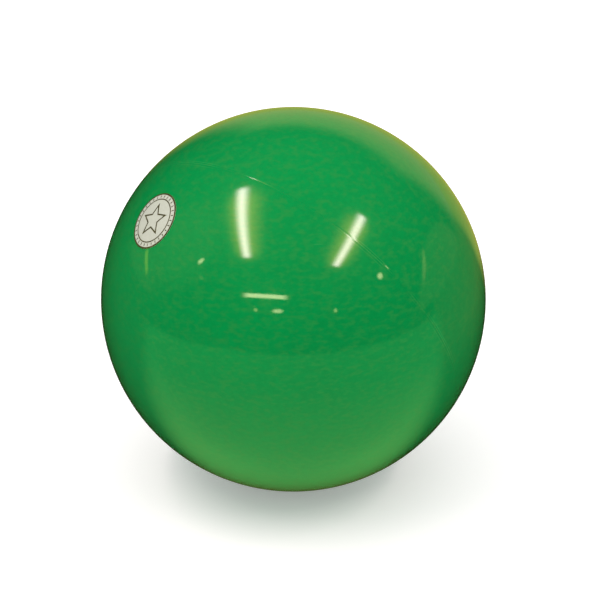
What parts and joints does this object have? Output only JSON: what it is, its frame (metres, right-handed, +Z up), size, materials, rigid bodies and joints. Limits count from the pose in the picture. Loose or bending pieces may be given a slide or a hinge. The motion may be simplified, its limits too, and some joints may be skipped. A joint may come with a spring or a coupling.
{
  "type": "playground ball",
  "caption": "Smooth inflatable rubber playground ball with a round printed badge and a recessed needle valve.",
  "frame": {"origin": "centre of the ball, which is also the centre of its box", "axes": "+Z is up as the ball stood when it was seen, with the badge at the front upper left; +Y runs from the centre out through the middle of the valve; +X completes the right-handed frame"},
  "size_m": [0.216, 0.216, 0.216],
  "materials": {
    "cover": "gloss",
    "cushion": "matte",
    "winding": "satin",
    "bladder": "satin",
    "valve_rubber": "satin",
    "badge_pale_ink": "gloss",
    "badge_dark_ink": "gloss"
  },
  "bodies": {
    "ball": {"outer_ply_front": "cover", "outer_ply_back": "cover", "inner_ply_front": "cushion", "inner_ply_back": "cushion", "nylon_winding": "winding", "valve_patch": "winding", "bladder": "bladder", "valve_boot": "valve_rubber", "badge_ground": "badge_pale_ink", "badge_rings": "badge_dark_ink", "badge_star": "badge_dark_ink"},
    "core": {"valve_core": "valve_rubber"}
  },
  "joints": [
    {"name": "core_slide", "type": "slide", "parent": "ball", "child": "core", "axis": [0, 1, 0], "range_m": [0, 0.02]}
  ]
}
